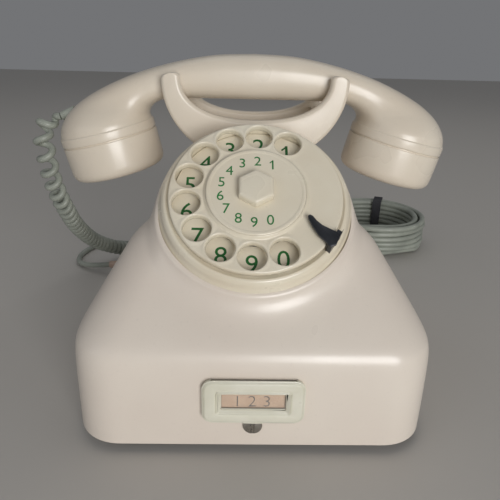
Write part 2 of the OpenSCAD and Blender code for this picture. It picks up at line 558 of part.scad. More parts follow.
// ---------- cords ----------
module cord_boots() color("#c9b3a4") {
  tube(spline(boot_path, 3), [5.2, 7.8], 12);
  tube(spline(line_boot_path, 3), [7.8, 5.6], 12);
}
module handset_cord_coil() color(cord_grey) tube(spline(coil_path, 2), curl_od, 10);
module handset_cord_tail() color(cord_grey) tube(spline(tail_path, 2), curl_d, 8);
module line_cord_lead() color(cord_grey) tube(spline(line_path, 2), line_d, 8);
module line_cord_end() color(cord_grey) tube(spline(end_path, 2), line_d, 8);
module line_cord_coil() color(cord_grey) translate([line_coil_c[0], line_coil_c[1], line_coil_z0]) rotate_extrude() polygon([
  [line_coil_in + 3, 0], [line_coil_out - 3, 0], [line_coil_out, 3], [line_coil_out, line_coil_h - 3], [line_coil_out - 3, line_coil_h],
  [line_coil_in + 3, line_coil_h], [line_coil_in, line_coil_h - 3], [line_coil_in, 3]]);
module cord_tie() color(dark) translate([line_coil_c[0], line_coil_c[1], 0]) rotate(tie_angle) difference() {
  bar([line_coil_in - tie_t, -4, line_coil_z0 - tie_t], [line_coil_out + tie_t + 0.4, 4, line_coil_z0 + line_coil_h + tie_t]);
  bar([line_coil_in - 0.1, -5, line_coil_z0], [line_coil_out + 0.4, 5, line_coil_z0 + line_coil_h]);
}
module plug_place() { translate(plug_at) rotate([0, 0, 180 + plug_turn]) children(); }
module line_plug() color("#d8d2c4") plug_place() hull() {
  for (y = [-6, 6]) translate([0, y, 0]) rotate([0, 90, 0]) cylinder(r = 4.5, h = 2, $fn = 32);
  for (y = [-9, 9]) translate([12, y, 0]) rotate([0, 90, 0]) cylinder(r = 8.3, h = plug_l - 12, $fn = 32);
}
module plug_pins() color(brass) plug_place() for (y = [-7, 0, 7]) translate([plug_l, y, 0]) rotate([0, 90, 0]) {
  cylinder(r = 2, h = 11);
  translate([0, 0, 11]) cylinder(r1 = 2, r2 = 1.2, h = 1.5);
}

housing();
base_plate();
rubber_feet();
base_screws();
housing_screw();
label_frame();
label_card();
label_window();
dial_ring();
dial_case();
number_ring();
finger_stop();
dial_plate();
dial_bridge();
dial_screws();
dial_spring();
governor_drum();
pulse_contacts();
finger_wheel();
dial_disc();
hub_nut();
dial_shaft();
main_gear();
pinion();
governor_spindle();
governor_weights();
chassis_bracket();
ringer_frame();
ringer_coils();
ringer_core();
gong_left();
gong_right();
gong_screws();
clapper();
induction_coil();
capacitor();
terminal_block();
terminal_screws();
hook_switch_frame();
hook_contacts();
hook_lever();
cradle_bushes();
cradle_fork();
cradle_plungers();
handset_shell();
mouthpiece_cap();
earpiece_cap();
microphone_capsule();
receiver_capsule();
capsule_springs();
handset_gland();
cord_boots();
handset_cord_coil();
handset_cord_tail();
line_cord_lead();
line_cord_coil();
line_cord_end();
cord_tie();
line_plug();
plug_pins();
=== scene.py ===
# %% [markdown]
# # A rotary desk telephone
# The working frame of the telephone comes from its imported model: every gear, spring and screw is
# already there, in metres, at its place. This lesson gives it its skin: the mouldings, the numbers,
# the cords and the finishes. Each step says what the piece is on the real telephone, how it could
# be made in Blender, and why one way was chosen.

# %% Load the frame and note its size
import json
import math

import bmesh
import bpy
import numpy as np
from mathutils import Matrix


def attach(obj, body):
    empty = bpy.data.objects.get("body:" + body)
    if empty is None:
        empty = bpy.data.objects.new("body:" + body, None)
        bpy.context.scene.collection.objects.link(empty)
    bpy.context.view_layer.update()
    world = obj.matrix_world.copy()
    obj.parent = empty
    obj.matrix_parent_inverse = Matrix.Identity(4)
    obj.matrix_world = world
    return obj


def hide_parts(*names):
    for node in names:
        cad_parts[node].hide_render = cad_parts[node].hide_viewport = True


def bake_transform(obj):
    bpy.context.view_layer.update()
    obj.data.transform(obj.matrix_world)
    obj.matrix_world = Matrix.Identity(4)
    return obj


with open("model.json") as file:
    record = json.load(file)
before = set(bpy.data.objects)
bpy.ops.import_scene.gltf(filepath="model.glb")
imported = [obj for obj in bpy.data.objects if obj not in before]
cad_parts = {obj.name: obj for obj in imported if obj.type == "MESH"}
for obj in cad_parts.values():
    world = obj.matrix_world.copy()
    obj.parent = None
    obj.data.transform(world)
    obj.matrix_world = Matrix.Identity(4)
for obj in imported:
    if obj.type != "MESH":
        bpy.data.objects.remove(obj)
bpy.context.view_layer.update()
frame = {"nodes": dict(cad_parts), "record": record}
MM = 0.001

# %% [markdown]
# ## Camera
# The telephone is seen from a seated person's height, close up, so the near edge of the housing
# looks wider than its back. A 36 mm lens on a 36 mm sensor gives that. The camera is set by where it
# stands and by three turns: yaw about the upright, pitch down, and a slight roll. A tracking
# constraint would be shorter to write, but it can't roll.

# %% Camera
YAW, PITCH, ROLL = math.radians(1.48), math.radians(22.2), math.radians(1.5)
forward = np.array([math.sin(YAW) * math.cos(PITCH), math.cos(YAW) * math.cos(PITCH), -math.sin(PITCH)])
level = np.array([math.cos(YAW), -math.sin(YAW), 0])
upright = np.cross(level, forward)
right = math.cos(ROLL) * level + math.sin(ROLL) * upright
up = math.cos(ROLL) * upright - math.sin(ROLL) * level
camera = bpy.data.objects.new("camera", bpy.data.cameras.new("camera"))
camera.data.lens = camera.data.sensor_width = 36
camera.data.clip_start = 0.01
placing = np.eye(4)
placing[:3, :4] = np.stack([right, up, -forward, np.array([-7.5, -256.2, 166.8]) * MM], 1)
camera.matrix_world = Matrix(placing.tolist())
bpy.context.scene.collection.objects.link(camera)
bpy.context.scene.camera = camera
print("camera at", [round(v, 3) for v in camera.location])

# %% [markdown]
# ## Floor and light
# A plain pale table top catches the shadows. Light comes as it does in a room with a window behind
# the viewer's right shoulder: one large soft source, low and in front, weaker ones from the left
# and from above, and a pale sky all round. The Standard view keeps colours as they were mixed.

# %% Floor and light
def to_linear(colour):
    """An sRGB hex colour as linear red, green, blue and alpha: each channel is raised to 2.4, after
    an offset."""
    channels = [int(colour[i:i + 2], 16) / 255 for i in (1, 3, 5)]
    return [c / 12.92 if c <= 0.04045 else ((c + 0.055) / 1.055) ** 2.4 for c in channels] + [1]


def add(tree, kind, settings, inputs):
    """Adds one node. settings are its own properties. An input is a value, or a socket to link."""
    new = tree.nodes.new(kind)
    for key, value in settings.items():
        setattr(new, key, value)
    for key, value in inputs.items():
        if isinstance(value, bpy.types.NodeSocket):
            tree.links.new(value, new.inputs[key])
        else:
            new.inputs[key].default_value = value
    return new


def blank_material(name):
    """A new material with an empty tree, the tree, and its object coordinates."""
    material = bpy.data.materials.new(name)
    material.use_nodes = True
    material.node_tree.nodes.clear()
    tree = material.node_tree
    return material, tree, add(tree, "ShaderNodeTexCoord", {}, {}).outputs["Object"]


def lamp(name, place, aim, size, watts, colour):
    """A square area light at place, turned so that its face looks at aim."""
    data = bpy.data.lights.new(name, "AREA")
    data.size = size
    data.energy = watts
    data.color = to_linear(colour)[:3]
    light = bpy.data.objects.new(name, data)
    z = np.array(place) - np.array(aim)
    z /= np.linalg.norm(z)
    x = np.cross([0, 0, 1], z)
    x /= np.linalg.norm(x)
    turned = np.eye(4)
    turned[:3, :4] = np.stack([x, np.cross(z, x), z, place], 1)
    light.matrix_world = Matrix(turned.tolist())
    bpy.context.scene.collection.objects.link(light)


lamp("window", (0.45, -1.35, 0.3), (0, 0, 0.08), 0.7, 12.5, "#fffefd")
lamp("room", (-0.9, -0.7, 0.5), (0, 0, 0.08), 0.9, 0.8, "#f3f6ff")
lamp("ceiling", (0.1, 0.5, 1.3), (0, 0, 0.1), 1.2, 2.0, "#fbf9f6")
world = bpy.data.worlds.new("pale_sky")
world.use_nodes = True
world.node_tree.nodes["Background"].inputs["Color"].default_value = to_linear("#eef0f4")
world.node_tree.nodes["Background"].inputs["Strength"].default_value = 0.2
bpy.context.scene.world = world
bpy.context.scene.view_settings.view_transform = "Standard"

table_mesh = bpy.data.meshes.new("table_top")
table_mesh.from_pydata([(-3, -3, 0), (3, -3, 0), (3, 3, 0), (-3, 3, 0)], [], [(0, 1, 2, 3)])
table_top = bpy.data.objects.new("table_top", table_mesh)
bpy.context.scene.collection.objects.link(table_top)
pale, tree, _ = blank_material("pale_table")
shade = add(tree, "ShaderNodeBsdfPrincipled", {}, {"Base Color": to_linear("#c9c5bf"), "Roughness": 0.6})
add(tree, "ShaderNodeOutputMaterial", {}, {"Surface": shade.outputs["BSDF"]})
table_mesh.materials.append(pale)

# %% [markdown]
# ## Finishes
# The telephone is made of a few things only: ivory urea moulding that has aged a little, a slightly
# yellower moulding for the dial, plated and blued steel, brass, paper, celluloid and soft vinyl.
# Most of them share one build: a base colour that drifts slowly over the piece, finer specks, a
# roughness that drifts too, and a faint bump. So one function makes them, told in millimetres how
# large each pattern is. A noise texture's scale is the number of its features in a metre.

# %% One function for every solid finish
def finish(name, light, dark, rough, drift_mm, speck_mm, bump_mm, metallic=0, ior=None, coat=0,
           rough_drift=0.08, speck="#6b6257", speck_share=0.0, stretch=(1, 1, 1), sheen=0):
    """light and dark are the ends of the slow colour drift, drift_mm apart. speck_share is how much of the
    speck colour the finer noise lays over it. Roughness drifts by rough_drift each way. bump_mm is the
    height of the fine relief. stretch above 1 along an axis packs the pattern closer along it."""
    material, tree, coords = blank_material(name)
    place = add(tree, "ShaderNodeMapping", {}, {"Vector": coords, "Scale": stretch})
    where = place.outputs["Vector"]
    slow = add(tree, "ShaderNodeTexNoise", {}, {"Vector": where, "Scale": 1 / (drift_mm * MM), "Detail": 3})
    fine = add(tree, "ShaderNodeTexNoise", {}, {"Vector": where, "Scale": 1 / (speck_mm * MM), "Detail": 2})
    drift = add(tree, "ShaderNodeMapRange", {}, {
        "Value": slow.outputs["Fac"], "From Min": 0.3, "From Max": 0.7})
    base = add(tree, "ShaderNodeMix", {"data_type": "RGBA"}, {"Factor": drift.outputs["Result"]})
    base.inputs[6].default_value, base.inputs[7].default_value = to_linear(dark), to_linear(light)
    spots = add(tree, "ShaderNodeMapRange", {}, {
        "Value": fine.outputs["Fac"], "From Min": 0.62, "From Max": 0.8, "To Min": 0, "To Max": speck_share})
    coloured = add(tree, "ShaderNodeMix", {"data_type": "RGBA"}, {"Factor": spots.outputs["Result"]})
    tree.links.new(base.outputs[2], coloured.inputs[6])
    coloured.inputs[7].default_value = to_linear(speck)
    gloss = add(tree, "ShaderNodeMapRange", {}, {
        "Value": slow.outputs["Fac"], "From Min": 0.25, "From Max": 0.75,
        "To Min": rough + rough_drift, "To Max": rough - rough_drift})
    relief = add(tree, "ShaderNodeBump", {}, {
        "Height": fine.outputs["Fac"], "Distance": bump_mm * MM, "Strength": 0.6})
    shader = add(tree, "ShaderNodeBsdfPrincipled", {}, {
        "Base Color": coloured.outputs[2], "Roughness": gloss.outputs["Result"],
        "Normal": relief.outputs["Normal"], "Metallic": metallic, "Coat Weight": coat,
        "Coat Roughness": 0.12, "Sheen Weight": sheen})
    if ior:
        shader.inputs["IOR"].default_value = ior
    add(tree, "ShaderNodeOutputMaterial", {}, {"Surface": shader.outputs["BSDF"]})
    return material


# %% [markdown]
# The mouldings: urea is glossy when new, and eighty years of hands leave it satin, a little greyer
# where dust has sat and warmer where light has reached. The relief is the faint orange peel of the
# mould, drawn at 1.5 mm. Plated steel is bright with a soft streak, brass is warmer, and the finger
# stop is steel heated until it turns blue. Steel, brass and zinc keep the default index of refraction.

# %% Mouldings and metals
ivory = finish("ivory_urea_moulding", "#e9dfd2", "#e2d6c9", 0.34, 60, 1.5, 0.03, ior=1.6, coat=0.12,
               speck_share=0.05)
handset_ivory = finish("handset_urea_moulding", "#e8decd", "#e0d3c0", 0.31, 45, 1.5, 0.03, ior=1.6, coat=0.15,
                       speck_share=0.06)
dial_ivory = finish("dial_urea_moulding", "#ece4d0", "#e5dac3", 0.3, 25, 1.0, 0.02, ior=1.6, coat=0.2,
                    speck_share=0.06)
label_ivory = finish("label_celluloid_moulding", "#e6e3d3", "#dddac7", 0.33, 12, 0.6, 0.02, ior=1.5, coat=0.2)
paper = finish("label_card_paper", "#d6b08c", "#c99f7a", 0.85, 5, 0.25, 0.04, ior=1.45, speck="#8c6040",
               speck_share=0.5)
nickel = finish("nickel_plated_steel", "#c9c6c0", "#aaa59d", 0.24, 6, 0.4, 0.01, metallic=1, speck="#6d5f4d",
                speck_share=0.35)
zinc = finish("zinc_plated_steel", "#b3b6b8", "#94989b", 0.38, 15, 0.8, 0.01, metallic=1, speck="#77705f",
              speck_share=0.3)
blued = finish("blued_spring_steel", "#55575c", "#3c3e43", 0.33, 9, 0.5, 0.01, metallic=0.85, speck="#2c2f35",
               speck_share=0.5)
brass = finish("turned_brass", "#cfae6a", "#a8854a", 0.3, 10, 0.6, 0.01, metallic=1, speck="#6e5230",
               speck_share=0.3)
bell_brass = finish("spun_bell_brass", "#d8b56c", "#b48f4e", 0.22, 20, 0.5, 0.01, metallic=1, speck="#7b5c35",
                    speck_share=0.25, stretch=(1, 1, 6))
print("mouldings and metals:", len(bpy.data.materials))

# %% [markdown]
# Softer and duller things: black rubber feet, the paper wrap of the coils, brown phenolic board, a
# lacquered capacitor can, and the vinyl of the two cords, grey with a green cast, which is what this
# vinyl turns to. The sleeves where the cords enter the housing are a pinkish beige.

# %% Rubber, wrap, board and vinyl
rubber = finish("black_rubber", "#35353a", "#26262a", 0.75, 12, 0.8, 0.05, ior=1.52, speck="#5c5a55",
                speck_share=0.3)
wrap = finish("oiled_coil_wrap", "#7f4b33", "#633624", 0.6, 8, 0.3, 0.03, ior=1.45, speck="#3c2014",
              speck_share=0.5)
phenolic = finish("brown_phenolic_board", "#463329", "#35241c", 0.45, 14, 0.7, 0.02, ior=1.6,
                  speck="#21150f", speck_share=0.4)
can_lacquer = finish("lacquered_can", "#989b95", "#83867f", 0.4, 12, 0.8, 0.01, ior=1.5, speck="#5f615c",
                     speck_share=0.3)
sleeve_vinyl = finish("beige_sleeve_vinyl", "#ccb3a2", "#b89d8b", 0.5, 10, 0.6, 0.03, ior=1.53, sheen=0.1)
cord_vinyl = finish("grey_cord_vinyl", "#a5aa9f", "#8f948a", 0.42, 14, 0.5, 0.02, ior=1.53, speck="#6f736b",
                    speck_share=0.25)
plug_vinyl = finish("ivory_plug_moulding", "#ddd6c6", "#cdc5b4", 0.4, 12, 0.7, 0.02, ior=1.55,
                    speck_share=0.1)
green_paint = finish("dark_green_number_paint", "#1f6f2f", "#185a26", 0.45, 3, 0.3, 0.01, ior=1.5)
bright_green = finish("green_number_paint", "#26823f", "#1c7236", 0.42, 3, 0.3, 0.01, ior=1.5)
# painted shade: a near-black for the thin discs that stand in for the shaded insides of the caps' holes
painted_hole_shade = finish("painted_hole_shade_dark", "#2a2622", "#1f1c19", 0.8, 3, 0.3, 0.01, ior=1.5)
ink = finish("brown_black_ink", "#3d3532", "#2c2624", 0.7, 1, 0.2, 0.01, ior=1.5)
print("materials so far:", len(bpy.data.materials))

# %% [markdown]
# The window over the label is clear celluloid, half a millimetre thick, so it bends light too little
# to see. It is drawn as a film that lets most light straight through, which is its low alpha, and
# keeps the soft highlight of its gloss.

# %% Clear celluloid
clear_celluloid, tree, coords = blank_material("clear_celluloid")
haze = add(tree, "ShaderNodeTexNoise", {}, {"Vector": coords, "Scale": 1 / (4 * MM), "Detail": 2})
dulled = add(tree, "ShaderNodeMapRange", {}, {"Value": haze.outputs["Fac"], "To Min": 0.04, "To Max": 0.2})
shade = add(tree, "ShaderNodeBsdfPrincipled", {}, {
    "Base Color": to_linear("#fbfaf2"), "IOR": 1.5, "Alpha": 0.16, "Roughness": dulled.outputs["Result"]})
add(tree, "ShaderNodeOutputMaterial", {}, {"Surface": shade.outputs["BSDF"]})
print("clear material:", clear_celluloid.name)

# %% [markdown]
# ## Making surfaces
# A moulding could be pushed into shape by hand, point by point. Here every surface is worked out
# instead: its points are a grid, rows one way and columns the other, given by a formula. Two small
# functions turn grids into a finished piece. The first joins neighbours into quads, and the second
# welds them, faces them outwards, smooths them and puts the piece on its body.

# %% From grids to pieces
def quads(grid, round_rows=False, round_columns=True):
    """The grid's points, and faces (i, j), (i, j+1), (i+1, j+1), (i+1, j). A round direction joins
    its end to its start."""
    rows, columns = grid.shape[:2]
    lines = np.arange(rows - (not round_rows)), np.arange(columns - (not round_columns))
    i, j = np.meshgrid(*lines, indexing="ij")
    row, below, beside = i * columns, (i + 1) % rows * columns, (j + 1) % columns
    faces = np.stack([row + j, row + beside, below + beside, below + j], -1)
    return grid.reshape(-1, 3), faces.reshape(-1, 4)


def settle(name, mesh, material, body, replaces, crease):
    """Makes the mesh a smooth piece of the telephone: edges sharper than crease degrees stay sharp."""
    mesh.shade_smooth()
    mesh.set_sharp_from_angle(angle=math.radians(crease))
    mesh.materials.clear()
    mesh.materials.append(material)
    piece = bpy.data.objects.new(name, mesh)
    bpy.context.scene.collection.objects.link(piece)
    if body:
        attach(piece, body)
    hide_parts(*replaces)
    print(name, len(mesh.polygons), "faces")
    return piece


def build(name, skins, material, body, replaces=(), crease=40):
    """Joins skins, each a grid in metres or (points, faces), into one welded mesh that faces outwards."""
    parts = [skin if isinstance(skin, tuple) else quads(skin) for skin in skins]
    firsts = np.cumsum([0] + [len(points) for points, _ in parts])
    faces = np.concatenate([shape + first for (_, shape), first in zip(parts, firsts)])
    mesh = bpy.data.meshes.new(name)
    mesh.from_pydata(np.concatenate([points for points, _ in parts]).tolist(), [], faces.tolist())
    work = bmesh.new()
    work.from_mesh(mesh)
    bmesh.ops.remove_doubles(work, verts=work.verts, dist=1e-6)
    bmesh.ops.recalc_face_normals(work, faces=work.faces)
    work.to_mesh(mesh)
    work.free()
    return settle(name, mesh, material, body, replaces, crease)


def softened(name, node, width, material, body, crease=40):
    """A copy of a CAD node with its edges rounded by width millimetres. The copy's loose triangles
    are merged and flat neighbours joined, so that the bevel runs along true edges."""
    work = bmesh.new()
    work.from_mesh(frame["nodes"][node].data)
    bmesh.ops.remove_doubles(work, verts=work.verts, dist=2e-6)
    bmesh.ops.dissolve_limit(work, angle_limit=math.radians(1), verts=work.verts, edges=work.edges)
    mesh = bpy.data.meshes.new(name + "_base")
    work.to_mesh(mesh)
    work.free()
    base = bpy.data.objects.new(name + "_base", mesh)
    bpy.context.scene.collection.objects.link(base)
    bevel = base.modifiers.new("rounded edges", "BEVEL")
    bevel.width, bevel.segments = width * MM, 3
    bevel.limit_method, bevel.angle_limit = "ANGLE", math.radians(38)
    bevel.use_clamp_overlap = False
    bpy.context.view_layer.update()
    final = bpy.data.meshes.new_from_object(base.evaluated_get(bpy.context.evaluated_depsgraph_get()))
    bpy.data.objects.remove(base)
    return settle(name, final, material, body, [node], crease)


# %% [markdown]
# ## Cords first
# Two cords leave the telephone. The handset's is a curly one: a 4 mm cord wound into 11.6 mm curls,
# with a straight end that slips into a sleeve at the back of the housing. The other is the line cord,
# gathered into a hank behind the telephone, with a three-pin plug. Both are tubes carried along a
# path. The path of the curly one is a helix round a slower curve, whose turns open out where the
# cord's own weight pulls them, just under the handset. A curve object with a round bevel would also
# do, but it twists where a helix passes the upright, so the tube is worked out here.

# %% Paths
def smooth_through(points, count):
    """A Catmull-Rom curve at count even steps of its knots: a cubic between two knots, which leaves
    each knot along the line between its neighbours."""
    knots = np.asarray(points, float)
    place = np.linspace(0, len(knots) - 1, count)
    i = np.minimum(place.astype(int), len(knots) - 2)
    f = (place - i)[:, None]
    a, b, c = knots[np.maximum(i - 1, 0)], knots[i], knots[i + 1]
    d = knots[np.minimum(i + 2, len(knots) - 1)]
    return 0.5 * (2 * b + (c - a) * f + (2 * a - 5 * b + 4 * c - d) * f**2 + (3 * b - a - 3 * c + d) * f**3)


def lengths_along(path):
    """How far along the path each of its points lies: the running sum of the steps."""
    return np.concatenate([[0], np.cumsum(np.linalg.norm(np.diff(path, axis=0), axis=1))])


def at_even_steps(path, step):
    """The same path with its points step apart."""
    far = lengths_along(path)
    places = np.linspace(0, far[-1], max(8, int(far[-1] / step)))
    return np.stack([np.interp(places, far, path[:, k]) for k in range(3)], 1)


def across(path):
    """Two directions square to the path and to each other, at each point."""
    along = np.gradient(path, axis=0)
    along /= np.linalg.norm(along, axis=1, keepdims=True)
    first = np.cross([0, 1, 1], along)
    first /= np.linalg.norm(first, axis=1, keepdims=True)
    return first, np.cross(along, first)


def tube(path, radius, sides, side=None):
    """A round skin along a path: each point is path + radius (cos a u + sin a v), with u and v
    across the path. side is a direction to keep u near. Both ends are closed by a point."""
    along = np.gradient(path, axis=0)
    along /= np.linalg.norm(along, axis=1, keepdims=True)
    u = across(path)[0] if side is None else side - along * np.sum(side * along, 1, keepdims=True)
    u /= np.linalg.norm(u, axis=1, keepdims=True)
    v = np.cross(along, u)
    a = np.linspace(0, 2 * np.pi, sides, endpoint=False)[None, :, None]
    r = np.broadcast_to(radius, len(path))[:, None, None]
    skin = path[:, None] + r * (np.cos(a) * u[:, None] + np.sin(a) * v[:, None])
    ends = [np.broadcast_to(path[k], (1, sides, 3)) for k in (0, -1)]
    return np.concatenate([ends[0], skin, ends[1]])


def ease(x, low, high):
    """0 below low, 1 above high, and 3t^2 - 2t^3 between them."""
    t = np.clip((x - low) / (high - low), 0, 1)
    return t * t * (3 - 2 * t)


# %% [markdown]
# The routes are the frame's own, in metres. On the curly stretch the helix has a radius of 3.8 mm,
# its turns are 4.5 mm apart on the table and over twice that under the handset.

# %% The handset cord
CURL_ROUTE = [(-.106, .0275, .1285), (-.112, .0275, .1265), (-.117, .028, .1195), (-.1175, .029, .110),
              (-.118, .032, .101), (-.119, .038, .090), (-.1195, .047, .077), (-.120, .058, .065),
              (-.1205, .071, .052), (-.120, .087, .0385), (-.117, .103, .026), (-.111, .118, .016),
              (-.101, .129, .009), (-.088, .134, .0064), (-.072, .136, .0061), (-.056, .136, .0061),
              (-.040, .135, .0061), (-.024, .134, .0061)]
TAIL_ROUTE = [(-.024, .134, .0061), (-.017, .135, .005), (-.010, .139, .003), (-.007, .147, .0022),
              (-.012, .156, .0021), (-.024, .161, .0021), (-.045, .162, .0021), (-.068, .159, .0021),
              (-.090, .157, .0021), (-.106, .159, .0021), (-.119, .160, .0021), (-.130, .153, .0021),
              (-.136, .141, .0021), (-.138, .128, .0021), (-.135, .116, .0023), (-.127, .108, .0034),
              (-.116, .103, .0054), (-.106, .100, .0074)]
BOOT_ROUTE = [(-.106, .100, .0074), (-.100, .0986, .0084), (-.093, .098, .0096), (-.084, .0976, .0104),
              (-.075, .0972, .011), (-.066, .0964, .011), (-.059, .094, .011), (-.055, .0896, .011),
              (-.0526, .0825, .011)]
CORD_D, CURL_R = 4 * MM, 3.8 * MM
curl = at_even_steps(smooth_through(CURL_ROUTE, 600), 0.3 * MM)
tail = at_even_steps(smooth_through(TAIL_ROUTE + BOOT_ROUTE[1:], 600), 1.5 * MM)
far = lengths_along(curl)
pitch = (4.5 + 5.5 * (1 - ease(far, 0.04, 0.1)) + 0.5 * (1 - ease(far, 0.1, 0.2))) * MM
turned = np.cumsum(np.gradient(far) / pitch) * 2 * np.pi
reach = CURL_R * ease(far, 0, 0.008) * (1 - ease(far, far[-1] - 0.01, far[-1]))
u, v = across(curl)
outward = np.cos(turned)[:, None] * u + np.sin(turned)[:, None] * v
handset_path = np.concatenate([curl + reach[:, None] * outward, tail[1:]])
outward = np.concatenate([outward, np.broadcast_to(outward[-1], (len(tail) - 1, 3))])
handset_cord = build("handset_cord", [tube(handset_path, CORD_D / 2, 10, outward)], cord_vinyl, None,
                     ["handset_cord_coil", "handset_cord_tail"], 60)
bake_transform(handset_cord)

# %% [markdown]
# The hank is wound the way a hand winds it: round and round, anticlockwise from above, two turns
# beside each other and then a layer higher. Small waves keep the turns from looking machined.

# %% The line cord
LINE_D = 4.6 * MM
LEAD_ROUTE = [(.044, .0825, .011), (.0445, .091, .011), (.0452, .100, .0109), (.046, .108, .0105),
              (.0475, .113, .009), (.051, .119, .006), (.057, .125, .0034), (.066, .130, .0024),
              (.078, .134, .0024), (.091, .1362, .0028), (.100, .137, .0034)]
END_ROUTE = [(.0695, .172, .020), (.0684, .170, .018), (.0664, .168, .015), (.0637, .166, .012),
             (.060, .1634, .009)]
HANK = np.array([.117, .184, 0])
TURNS = 11.75
turn = np.linspace(0, TURNS, 1100)
layer = np.floor(turn / 2) + ease(turn % 2, 1.8, 2)
inner = 0.5 - 0.5 * np.cos(np.pi * (np.floor((turn + 1) / 2) + ease((turn + 1) % 2, 1.75, 2)))
angle = 2 * np.pi * turn - np.pi / 2
radius = (43.9 - 6.2 * inner + 0.45 * np.sin(angle * 3 + turn) + 0.3 * np.sin(angle * 5.3)) * MM
height = (3.6 + 4.36 * layer + 0.25 * np.sin(angle * 2 + 2 * turn)) * MM
hank = HANK + np.stack([radius * np.cos(angle), radius * np.sin(angle), height], 1)
whole = np.concatenate([smooth_through(LEAD_ROUTE, 200), hank[12:-12], smooth_through(END_ROUTE, 60)])
line_path = at_even_steps(whole, 2 * MM)
line_cord = build("line_cord", [tube(line_path, LINE_D / 2, 12)], cord_vinyl, "base",
                  ["line_cord_lead", "line_cord_coil", "line_cord_end"], 60)
line_plug = softened("line_plug_body", "line_plug", 1.2, plug_vinyl, "base")

# %% [markdown]
# ## The housing
# The housing is one deep moulding: a box with rounded corners, whose upper part leans in from a soft
# crease like a pyramid. Its shoulders fall away towards the back, beside a turret that carries the
# cradle. A round boss carries the dial, and flows into the slope with a wide fillet. Such blends are
# hard to model with faces. They are easy with distances: each shape has a function that is negative
# inside, and a smooth minimum of two rounds the join. Rays then leave a point inside, and each is
# halved again and again until it meets the surface.

# %% The housing's distance function
DIAL_TILT = math.radians(41.5)
DIAL_PLACE = np.array([0, -41.5, 106.5])
DIAL_UP = np.array([0, math.cos(DIAL_TILT), math.sin(DIAL_TILT)])
DIAL_OUT = np.array([0, -math.sin(DIAL_TILT), math.cos(DIAL_TILT)])
CREASE_Z, TOP_Z, RIM_Z, WALL = 48.5, 112, 4, 2.4
# Each pair below is a place or a size at the crease, and then at the top.
FRONT, BACK, CORNER_R, FRONT_HALF, BACK_HALF = (-84.5, -16), (87.5, 56), (22, 16), (80, 39), (76, 37)
SHOULDER_Z, SHOULDER_Y, SHOULDER_FALL, SHOULDER_R, TURRET_HALF = 91, -40, 0.35, 9, 42
BOSS_R, BOSS_TOP, BOSS_DEPTH, BOSS_FILLET, CRADLE_FILLET = 44.1, -10.6, 90, 17, 2


def soft_min(a, b, k):
    """The smaller of two distances, with the join rounded where they are less than k apart: h^2 / 4k
    is taken off, where h is k less their difference."""
    return np.minimum(a, b) - np.maximum(k - np.abs(a - b), 0) ** 2 / (4 * k)


def between(a, b, k):
    """A share k of the way from a to b."""
    return a + (b - a) * k


def body_distance(p):
    """A rounded rectangle, whose sides move in with height above the crease. A roof that falls to
    the back cuts it, and leaves the turret, which a flat top cuts. Their join is rounded only
    high up, so that the front and back faces stay flat."""
    x, y, z = p[..., 0], p[..., 1], p[..., 2]
    rise = (z - CREASE_Z) / (TOP_Z - CREASE_Z)
    lean = 0.5 * (rise + np.sqrt(rise**2 + 0.07**2))
    front, back, corner = between(*FRONT, lean), between(*BACK, lean), between(*CORNER_R, lean)
    depth = (y - front) / (back - front)
    half = between(between(*FRONT_HALF, lean), between(*BACK_HALF, lean), depth)
    qx = np.abs(x) - half + corner
    qy = np.abs(y - (front + back) / 2) - (back - front) / 2 + corner
    side = np.hypot(np.maximum(qx, 0), np.maximum(qy, 0)) + np.minimum(np.maximum(qx, qy), 0) - corner
    roof = (SHOULDER_Z - z - SHOULDER_FALL * (y - SHOULDER_Y)) / math.hypot(1, SHOULDER_FALL)
    turret = soft_min(TURRET_HALF - np.abs(x), -side, 6)
    shoulders, turret = -soft_min(-side, roof, SHOULDER_R), -soft_min(turret, TOP_Z - z, SHOULDER_R)
    return soft_min(shoulders, turret, 0.1 + 7 * ease(z, 68, 86))


def housing_distance(p):
    """The body joined to the dial's boss, which ends inside it. The fillet is wide in front, and
    closes to a small one at the cradle."""
    local = p - DIAL_PLACE
    out = local @ DIAL_OUT
    wall = np.hypot(local[..., 0], local @ DIAL_UP) - BOSS_R
    boss = np.maximum(-soft_min(-wall, BOSS_TOP - out, 1.6), -BOSS_DEPTH - out)
    fillet = between(BOSS_FILLET, CRADLE_FILLET, ease(p[..., 1], -24, 0))
    return soft_min(body_distance(p), boss, fillet)


def meet(start, rays, depth):
    """Where each ray from start crosses the level depth of the housing's distance, by 34 halvings of
    the stretch from 0 to 220 mm."""
    near, beyond = np.zeros(rays.shape[:-1]), np.full(rays.shape[:-1], 220.0)
    for _ in range(34):
        middle = (near + beyond) / 2
        inside = housing_distance(start + middle[..., None] * rays) < depth
        near, beyond = np.where(inside, middle, near), np.where(inside, beyond, middle)
    return start + near[..., None] * rays


# %% [markdown]
# The rays fan out from the circle that the dial sits in to the bottom rim, along great circles. The
# same rays, run back from rim to dial a wall's thickness deeper, make the inside, and close the shell.

# %% The housing's skin
HEART, SEAT_R = np.array([0, -5.0, 60.0]), 42.8
a = np.linspace(0, 2 * np.pi, 280, endpoint=False)[:, None]
seat = DIAL_PLACE + BOSS_TOP * DIAL_OUT + SEAT_R * (np.sin(a) * [1, 0, 0] + np.cos(a) * DIAL_UP)
plan = np.concatenate([np.sin(a), np.cos(a), 0 * a], 1)
rim = meet(np.array([0, 1.5, RIM_Z]), plan, 0)
first, last = seat - HEART, rim - HEART
first /= np.linalg.norm(first, axis=1, keepdims=True)
last /= np.linalg.norm(last, axis=1, keepdims=True)
sweep = np.arccos(np.sum(first * last, 1))[None, :, None]


def fan(share):
    """Rays that are a share of the way along the great circle from the dial's seat to the rim."""
    k = share[:, None, None]
    return (np.sin((1 - k) * sweep) * first + np.sin(k * sweep) * last) / np.sin(sweep)


